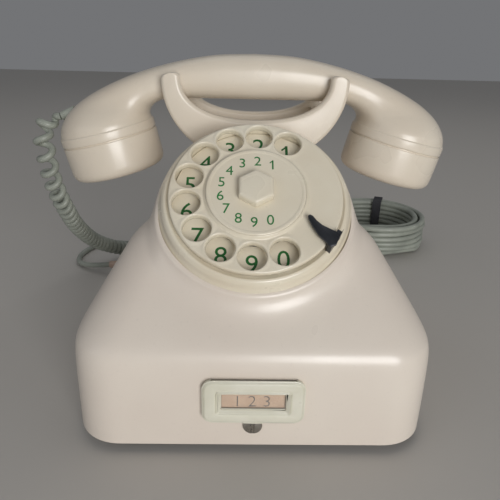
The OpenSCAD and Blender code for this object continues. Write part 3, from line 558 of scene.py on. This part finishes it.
shares = np.concatenate([np.linspace(0, 0.07, 26), np.linspace(0.07, 1, 190)[1:]])
outer = meet(HEART, fan(shares), 0)
inside = meet(HEART, fan(np.linspace(0.985, 0.03, 60)), -WALL)
shell = np.concatenate([outer, inside]) * MM
build("housing_moulding", [quads(shell, round_rows=True)], ivory, "base", ["housing"], 50)

# %% [markdown]
# ## The handset
# The handset is one hollow moulding too. Seen from the side it has an upper outline and a lower one.
# At each step along it, a cross-section joins the two: an ellipse at the ends, squarer in the grip,
# where a superellipse raises |cos| and |sin| to a power below 1. The section turns as it goes, so it
# meets the round end caps squarely. The caps are turned pieces with a band and two fine grooves.

# %% Helpers for turned pieces
def rounded(corners, size, steps=5):
    """A closed outline with each corner replaced by a parabola that starts and ends size away from it."""
    p = np.asarray(corners, float)
    before, after = np.roll(p, 1, 0) - p, np.roll(p, -1, 0) - p
    gap = np.minimum(np.linalg.norm(before, axis=1), np.linalg.norm(after, axis=1))[:, None]
    size = np.minimum(np.broadcast_to(size, len(p))[:, None], 0.48 * gap)
    start = p + before / np.linalg.norm(before, axis=1, keepdims=True) * size
    end = p + after / np.linalg.norm(after, axis=1, keepdims=True) * size
    t = np.linspace(0, 1, steps)[None, :, None]
    curves = (1 - t) ** 2 * start[:, None] + 2 * t * (1 - t) * p[:, None] + t**2 * end[:, None]
    return curves.reshape(-1, p.shape[1])


def turned_piece(outline, sides=96):
    """A closed outline of (radius, height) carried round its axis, in millimetres."""
    r, h = np.asarray(outline, float).T[:, :, None]
    a = np.linspace(0, 2 * np.pi, sides, endpoint=False)
    return np.stack([r * np.cos(a), r * np.sin(a), h + 0 * a], -1)


def ring_skin(outline, place, sides=96):
    """A turned piece, placed, with its outline closed."""
    return quads(place(turned_piece(outline, sides)), round_rows=True)


HANDSET_Y, CAP_X, CAP_Z, CAP_TILT = 27.5, 75, 99, math.radians(14)


def on_cup(side):
    """Places local millimetres in the left (-1) or right (1) cup, whose axis leans outward going up."""
    c, s = math.cos(CAP_TILT), math.sin(CAP_TILT) * side

    def place(p):
        x, y, z = p[..., 0], p[..., 1], p[..., 2]
        return np.stack([side * CAP_X + c * x + s * z, HANDSET_Y + y, CAP_Z - s * x + c * z], -1) * MM
    return place


# %% The handset's shell
UPPER = [(105.7, 117.1), (105.3, 121.5), (103.6, 126), (100.3, 130.8), (95.5, 135.4), (88, 140.6),
         (76, 146.8), (61, 152.8), (42, 158.2), (21, 162), (0, 163)]
LOWER = [(56.4, 129.4), (57.2, 131.5), (56.3, 134.3), (53.2, 137.2), (47.5, 139.2), (36, 140), (0, 140)]
HALF_DEPTH = [[25.4], [24.9], [23.4], [21], [18.4], [16.2], [14.6], [13.8], [13.5], [13.5], [13.5]]
SQUARENESS = [[2], [2.05], [2.2], [2.4], [2.5], [2.6], [2.6]]
steps = 110
upper, lower = smooth_through(UPPER, steps), smooth_through(LOWER, steps)
depth, power = smooth_through(HALF_DEPTH, steps), smooth_through(SQUARENESS, steps)
upper, lower = (np.concatenate([line * [-1, 1], line[-2::-1]]) for line in (upper, lower))
depth, power = (np.concatenate([line, line[-2::-1]]) for line in (depth, power))
a = np.linspace(0, 2 * np.pi, 96, endpoint=False)[None, :]
raised = np.sign(np.cos(a)) * np.abs(np.cos(a)) ** (2 / power)
sideways = np.sign(np.sin(a)) * np.abs(np.sin(a)) ** (2 / power)
middle, half = (upper + lower) / 2, (upper - lower) / 2
loft = np.stack([middle[:, :1] + half[:, :1] * raised, HANDSET_Y + depth * sideways,
                 middle[:, 1:] + half[:, 1:] * raised], -1)
ends = [np.broadcast_to(loft[k].mean(0), (1, 96, 3)) for k in (0, -1)]
BAND = rounded([(0.01, 20), (26, 20), (26, 24.6), (25, 25.3), (0.01, 25.3)], 0.7)
bands = [ring_skin(BAND, on_cup(side)) for side in (-1, 1)]
grip = quads(np.concatenate([ends[0], loft, ends[1]]) * MM)
build("handset_moulding", [grip] + bands, handset_ivory, "handset", ["handset_shell"], 42)

# %% The two caps
CAP = rounded([(0.01, 0), (26, 0), (26, 19.4), (25.2, 19.4), (25.2, 20), (22, 20), (22, 3), (0.01, 3)],
              [0.1, 6, 0.5, 0.1, 0.1, 0.3, 0.3, 0.1], 9)
for name, side, rings in (("mouthpiece", -1, 2), ("earpiece", 1, 1)):
    build(name + "_moulding", [ring_skin(CAP, on_cup(side))], handset_ivory, "handset",
          [name + "_cap"])
    # The holes are not cut. At each one a thin near-black disc is painted shade, standing for the dark inside
    # of the hole.
    holes = [(4.6 * k * math.cos(t), 4.6 * k * math.sin(t)) for k in range(rings + 1)
             for t in np.arange(max(1, 6 * k)) * math.pi / 3 / max(1, k)]
    dots = [ring_skin([(0.01, 0.3), (1.1, 0.3), (1.1, -0.05), (0.01, -0.05)],
                      lambda p, at=at, side=side: on_cup(side)(p + [*at, 0]), 16) for at in holes]
    build(name + "_holes", dots, painted_hole_shade, "handset")

# %% [markdown]
# ## The cradle
# The cradle is a moulded fork: two curved plates with rounded tips, joined by a block and by the two
# pads that the grip lies on. Each plate is a band between an outer and an inner curve, with a rounded
# rectangle as its section. Its lower edge is hollowed to clear the boss of the dial.

# %% The fork
HORN_HALF, HORN_Z, FORK_Z, WEB_Z, PLATE_T = 47.5, 152.5, 114, 131.3, 5.5


def fork_curves(u):
    """The outer and inner edge of the right half of a plate, from the middle (0) to the tip (1)."""
    low = np.minimum(u / 0.3, 1)
    turn = np.radians(60) * (1 - np.maximum(u - 0.3, 0) / 0.7)
    outer = np.stack([np.where(u < 0.3, HORN_HALF / 2 * low, HORN_HALF * np.cos(turn)),
                      HORN_Z - 2.5 - (HORN_Z - 2.5 - FORK_Z) / math.sin(math.pi / 3) * np.sin(turn)], 1)
    turn = np.radians(90) * (1 - u)
    inner = np.stack([38 * np.cos(turn) ** 0.87,
                      HORN_Z - 0.5 - (HORN_Z - 0.5 - WEB_Z) * np.sin(turn) ** 0.87], 1)
    return outer, inner


def boss_edge(x, y):
    """The height of the boss above the line (x, y), with 0.6 mm of room."""
    across_dial = np.sqrt(np.maximum((BOSS_R + 0.6) ** 2 - x**2, 0))
    down = (y - DIAL_PLACE[1] - across_dial * DIAL_UP[1]) / -DIAL_OUT[1]
    return DIAL_PLACE[2] + across_dial * DIAL_UP[2] - down * DIAL_OUT[2]


def plate_skin(y0, hollow):
    """One plate, from y0 backwards. Rows run from the left tip to the right one."""
    u = np.linspace(0, 1, 60)
    outer, inner = fork_curves(u)
    if hollow:
        outer[:, 1] = np.maximum(outer[:, 1], np.where(outer[:, 0] < 24, boss_edge(outer[:, 0], y0), 0))
    tip = np.linspace(0, 1, 9)[1:, None]
    centre, half = (outer[-1] + inner[-1]) / 2, (outer[-1] - inner[-1]) / 2
    rise = np.array([-half[1], half[0]]) / np.hypot(*half) * 2.4 * np.sin(tip * np.pi / 2)
    shrink = 0.42 + 0.58 * np.cos(tip * np.pi / 2)
    outer = np.concatenate([outer, centre + rise + half * shrink])
    inner = np.concatenate([inner, centre + rise - half * shrink])
    outer, inner = (np.concatenate([line[:0:-1] * [-1, 1], line]) for line in (outer, inner))
    middle, half = (outer + inner) / 2, (outer - inner) / 2
    width = np.hypot(*half.T)[:, None]
    corner = np.minimum(2.3, width * 0.95)
    a = np.linspace(0, 2 * np.pi, 49)[:-1] + np.pi / 48
    along = (np.sign(np.cos(a)) * (width - corner) + corner * np.cos(a)) / width
    edge = np.minimum(corner, PLATE_T / 2)
    deep = np.sign(np.sin(a)) * (PLATE_T / 2 - edge) + edge * np.sin(a)
    points = np.stack([middle[:, :1] + half[:, :1] * along, y0 + PLATE_T / 2 + deep,
                       middle[:, 1:] + half[:, 1:] * along], -1)
    ends = [np.broadcast_to(points[k].mean(0), (1, 48, 3)) for k in (0, -1)]
    return quads(np.concatenate([ends[0], points, ends[1]]) * MM)


def box_skin(low, high, edge):
    """A box with rounded upright edges and closed ends, from its lowest to its highest corner."""
    (x0, y0, z0), (x1, y1, z1) = low, high
    outline = rounded([(x0, y0), (x1, y0), (x1, y1), (x0, y1)], edge)
    centre = [(x0 + x1) / 2, (y0 + y1) / 2]
    shape = [(0, z0), (1, z0), (1, z1), (0, z1)]
    return quads(np.array([[[*(centre + (q - centre) * k), z] for q in outline] for k, z in shape]) * MM)


FRONT_Y, REAR_Y = 6.0, 43.5
block = box_skin((-23, FRONT_Y + 3, FORK_Z + 1), (23, REAR_Y + 2.5, FORK_Z + 7), 2)
pads = [box_skin((37 * s - 4, FRONT_Y + 3, 130), (37 * s + 4, REAR_Y + 2.5, 135), 1) for s in (-1, 1)]
build("cradle_moulding", [plate_skin(FRONT_Y, True), plate_skin(REAR_Y, False), block] + pads, handset_ivory,
      "cradle", ["cradle_fork"])

# %% [markdown]
# ## The dial
# Everything on the dial is placed in the dial's own frame: x to the right, y up its face and z out
# of it. The ring, the number plate and the disc are turned pieces, worked out from their outlines.
# The ring's lip reaches a little under the wheel, and its foot over the edge of the boss, so that no
# gap shows dark. The hexagonal cap and the finger stop are the frame's own shapes, with edges rounded.

# %% Turned pieces of the dial
def on_dial(p):
    """Places local millimetres of the dial in the frame of the telephone."""
    x, y, z = p[..., :1], p[..., 1:2], p[..., 2:]
    return (DIAL_PLACE + x * [1, 0, 0] + y * DIAL_UP + z * DIAL_OUT) * MM


RING = rounded([(38.3, -4.1), (39.6, -3.6), (40.3, -3.1), (41.3, -3.3), (42.7, -4.8), (43.25, -7.5),
                (44.7, -9.6), (44.7, -10.95), (38.3, -10.95)], [0.1, 0.2, 0.3, 0.9, 1.4, 1.6, 0.3, 0.1, 0.1])
build("dial_ring_moulding", [ring_skin(RING, on_dial, 160)], dial_ivory, "base",
      ["dial_ring"])
PLATE = rounded([(23.5, -6), (37.8, -6), (37.8, -7.4), (23.5, -7.4)], 0.25)
build("number_plate", [ring_skin(PLATE, on_dial, 128)], dial_ivory, "base", ["number_ring"])
DISC = rounded([(0.01, 0.6), (22.3, 0.6), (22.3, 1.9), (21.6, 2.25), (20.7, 2.1), (20.3, 1.9), (0.01, 1.9)],
               [0.1, 0.2, 0.5, 0.4, 0.3, 0.3, 0.1])
build("centre_disc", [ring_skin(DISC, on_dial, 128)], dial_ivory, "dial", ["dial_disc"])
softened("hub_cap_nut", "hub_nut", 0.55, dial_ivory, "dial")
softened("finger_stop_blade", "finger_stop", 0.3, blued, "base")

# %% [markdown]
# The finger wheel is a disc with ten holes, so close together that their rounded lips run into each
# other. Cutting holes into a mesh leaves ragged shading. Here each hole has its own sector of the
# wheel, whose columns run from the hole's edge out to the sector's outline, and the height of the
# face is a function of the distance to the nearest hole: it dips at the edge, and rises to a lip.

# %% The finger wheel
HOLE_R, HOLES_R, WHEEL_R, UNDERSIDE = 6.3, 31.2, 39, -3
FIRST_HOLE, HOLE_STEP = math.radians(28.5), math.radians(25.7)
OUTER_R, INNER_R, SIDE = 38.3, 23.6, 12
turns_of_holes = FIRST_HOLE - HOLE_STEP * np.arange(10)


def spot(r, turn):
    """The point at radius r, turned clockwise from the top of the dial."""
    return np.stack([r * np.sin(turn), r * np.cos(turn)], -1)


def with_face(xy):
    """Adds the height of the wheel's face at each place."""
    far = np.linalg.norm(xy[..., None, :] - spot(HOLES_R, turns_of_holes), axis=-1).min(-1) - HOLE_R
    edge = 0.36 - 0.74 * (1 - np.minimum(far / 0.6, 1)) ** 2
    height = np.where(far < 0.6, edge, 0.36 * (1 - ease(far, 0.7, 2.1)))
    return np.concatenate([xy, height[..., None]], -1)


def at_height(xy, z):
    """The same places, all at height z."""
    return np.concatenate([xy, np.full(xy.shape[:-1] + (1,), z)], -1)


def hole_sector(turn):
    """The sector of one hole. Its outline is an outer arc, a radial edge, an inner arc and a radial edge."""
    k, half = np.linspace(0, 1, SIDE + 1)[:-1], HOLE_STEP / 2
    radii = np.concatenate([OUTER_R + 0 * k, between(OUTER_R, INNER_R, k), INNER_R + 0 * k,
                            between(INNER_R, OUTER_R, k)])
    turned = turn + np.concatenate([between(-half, half, k), half + 0 * k, between(half, -half, k),
                                    -half + 0 * k])
    outline, centre = spot(radii, turned), spot(HOLES_R, turn)
    far = outline[::SIDE] - centre
    corners = np.unwrap(np.arctan2(far[:, 0], far[:, 1]))
    corners = np.append(corners, corners[0] + 2 * np.pi)
    round_hole = np.interp(np.arange(4 * SIDE), np.arange(5) * SIDE, corners)
    rows = [at_height(outline, UNDERSIDE), at_height(centre + spot(HOLE_R + 0.3, round_hole), UNDERSIDE)]
    rows += [at_height(centre + spot(HOLE_R, round_hole), z) for z in (UNDERSIDE + 0.3, -1.6, -0.6)]
    start = centre + spot(HOLE_R, round_hole)
    shares = [0, 0.03, 0.07, 0.12, 0.18, 0.26, 0.36, 0.48, 0.62, 0.8, 1]
    return quads(on_dial(np.stack(rows + [with_face(between(start, outline, share)) for share in shares])))


ends_of_plain = (turns_of_holes[0] + HOLE_STEP / 2, turns_of_holes[9] - HOLE_STEP / 2 + 2 * np.pi)
plain_turns = np.linspace(*ends_of_plain, 49)
plain = spot(np.linspace(OUTER_R, INNER_R, SIDE + 1)[:, None], plain_turns[None, :])
arcs = [turn + np.linspace(-0.5, 0.5, SIDE + 1)[:-1] * HOLE_STEP for turn in turns_of_holes[::-1]]
all_turns = np.concatenate(arcs + [plain_turns[:-1]])
lean = np.linspace(0, np.pi / 2, 6)[:, None]
start = with_face(spot(OUTER_R, all_turns))[:, 2]
outer_r = np.concatenate([OUTER_R + (WHEEL_R - OUTER_R) * np.sin(lean),
                          [[WHEEL_R], [WHEEL_R - 0.5], [OUTER_R]]])
outer_z = np.concatenate([-1.1 + (start + 1.1) * np.cos(lean), np.full((3, len(start)), UNDERSIDE)])
outer_z[-3] = UNDERSIDE + 0.5
start = with_face(spot(INNER_R, all_turns))[:, 2]
inner_r = np.array([[INNER_R], [23.3], [22.95], [22.65], [22.4], [22.4], [INNER_R]])
collar = np.broadcast_to([[0.8], [1.3], [1.45], [-2.9], [UNDERSIDE]], (5, len(start)))
inner_z = np.concatenate([start[None], start + [[0.25]], collar])
rims = [np.concatenate([spot(r, all_turns[None]), z[..., None]], -1)
        for r, z in ((outer_r, outer_z), (inner_r, inner_z))]
skins = [hole_sector(turn) for turn in turns_of_holes] + [quads(on_dial(rim)) for rim in rims]
skins += [quads(on_dial(grid), round_columns=False)
          for grid in (with_face(plain), at_height(plain, UNDERSIDE))]
build("finger_wheel_moulding", skins, dial_ivory, "dial", ["finger_wheel"], 60)

# %% [markdown]
# The numbers are printed twice: large and dark green on the fixed plate, where they show through the
# holes, and small and bright green round the turning disc. They are text, turned into meshes and set
# upright on the dial. Each is scaled to its height, so it doesn't depend on how the font is drawn.
# The 1 of the font is a plain bar, so a short flag is added to it.

# %% Numbers
def letters(text, height, at, place, heavy=0.0):
    """The text's mesh, scaled to a height in millimetres, centred at (x, y, z) of a frame and placed."""
    curve = bpy.data.curves.new("text", "FONT")
    curve.body, curve.extrude, curve.offset, curve.resolution_u = text, 0.01, heavy, 4
    written = bpy.data.objects.new("text", curve)
    bpy.context.scene.collection.objects.link(written)
    bpy.context.view_layer.update()
    mesh = bpy.data.meshes.new_from_object(written.evaluated_get(bpy.context.evaluated_depsgraph_get()))
    bpy.data.objects.remove(written)
    points = np.empty(len(mesh.vertices) * 3)
    mesh.vertices.foreach_get("co", points)
    points = points.reshape(-1, 3)
    low, high = points.min(0), points.max(0)
    points = (points - (low + high) / 2) * height / (high[1] - low[1])
    points[:, 2] = np.sign(points[:, 2]) * 0.04
    mesh.calc_loop_triangles()
    corners = np.empty(len(mesh.loop_triangles) * 3, int)
    mesh.loop_triangles.foreach_get("vertices", corners)
    triangles = corners.reshape(-1, 3)
    return place(points + at), np.concatenate([triangles, triangles[:, :1]], 1)


large, small = [], []
for i in range(10):
    turn = FIRST_HOLE - HOLE_STEP * i
    digit = str((i + 1) % 10)
    for shapes, height, radius, low, z in ((large, 8.6, 31.2, 0.9, -5.99), (small, 4.9, 15.9, 0, 1.92)):
        at = np.array([*spot(radius, turn), z]) - [0, low, 0]
        shapes.append(letters(digit, height, at, on_dial))
        if digit == "1":
            flag = np.array([[0, 0.5, 0], [-0.3, 0.24, 0], [-0.25, 0.15, 0], [0, 0.36, 0]]) * height
            shapes.append((on_dial(flag + [0, 0, 0.04] + at), np.array([[0, 1, 2, 3]])))


def print_on(name, shapes, material, body):
    """Joins letter shapes into one thin piece."""
    firsts = np.cumsum([0] + [len(points) for points, _ in shapes])
    faces = [tuple(dict.fromkeys(f)) for (_, shape), k in zip(shapes, firsts) for f in (shape + k).tolist()]
    mesh = bpy.data.meshes.new(name)
    mesh.from_pydata(np.concatenate([points for points, _ in shapes]).tolist(), [], faces)
    return settle(name, mesh, material, body, [], 40)


print_on("plate_numbers", large, green_paint, "base")
print_on("disc_numbers", small, bright_green, "dial")

# %% [markdown]
# ## Label, screw and sleeves
# The label is a small frame with a celluloid window, and under it a card that the owner wrote on.
# The writing here is a plain made-up number. The slotted screw below holds the housing down.

# %% Label and screw
LABEL_Z = 28.5


def on_front(p):
    """Places millimetres of the label in the frame: x to the right, y up, z out of the housing's front."""
    return np.stack([p[..., 0], FRONT[0] - p[..., 2], LABEL_Z + p[..., 1]], -1) * MM


softened("label_surround", "label_frame", 0.8, label_ivory, "base")
print_on("label_writing", [letters("1 2 3", 5.4, [0, -0.6, 0.47], on_front, -0.02)], ink, "base")
softened("cover_screw", "housing_screw", 0.25, nickel, "base")

# %% The sleeves
boot = at_even_steps(smooth_through(BOOT_ROUTE, 200), 0.8 * MM)
lead = at_even_steps(smooth_through(LEAD_ROUTE[:4], 100), 0.8 * MM)


def sleeve(path, thin, thick):
    """A tapering tube, whose radius also waves every 4 mm, as the ribs of a sleeve do."""
    far = lengths_along(path)
    share = far / far[-1]
    radius = between(thin, thick, share) / 2 + 0.18 * np.sin(far / (4 * MM) * 2 * np.pi) * ease(share, 0, 0.1)
    return tube(path, radius * MM, 20)


build("cord_sleeves", [sleeve(boot, 5.2, 7.8), sleeve(lead[::-1], 5.6, 7.8)], sleeve_vinyl, "base",
      ["cord_boots"], 60)

# %% [markdown]
# ## Finishes for the rest
# Everything else, the works inside included, keeps the frame's own mesh. Each node gets the finish
# that its record names for it.

# %% Finishes for the frame's nodes
LOOKS = {"ivory_moulding": ivory, "dial_moulding": dial_ivory, "label_moulding": label_ivory, "card": paper,
         "celluloid": clear_celluloid, "nickel_steel": nickel, "zinc_plate": zinc, "blued_steel": blued,
         "brass": brass, "gong_brass": bell_brass, "rubber": rubber, "coil_wrap": wrap, "phenolic": phenolic,
         "can": can_lacquer, "boot_vinyl": sleeve_vinyl, "cord_vinyl": cord_vinyl,
         "plug_moulding": plug_vinyl}
for part in frame["record"]["subparts"]:
    node = frame["nodes"][part["node"]]
    if not node.material_slots:
        node.data.materials.append(None)
    for place in node.material_slots:
        place.link = "OBJECT"
        place.material = LOOKS[part["material_slot"]]
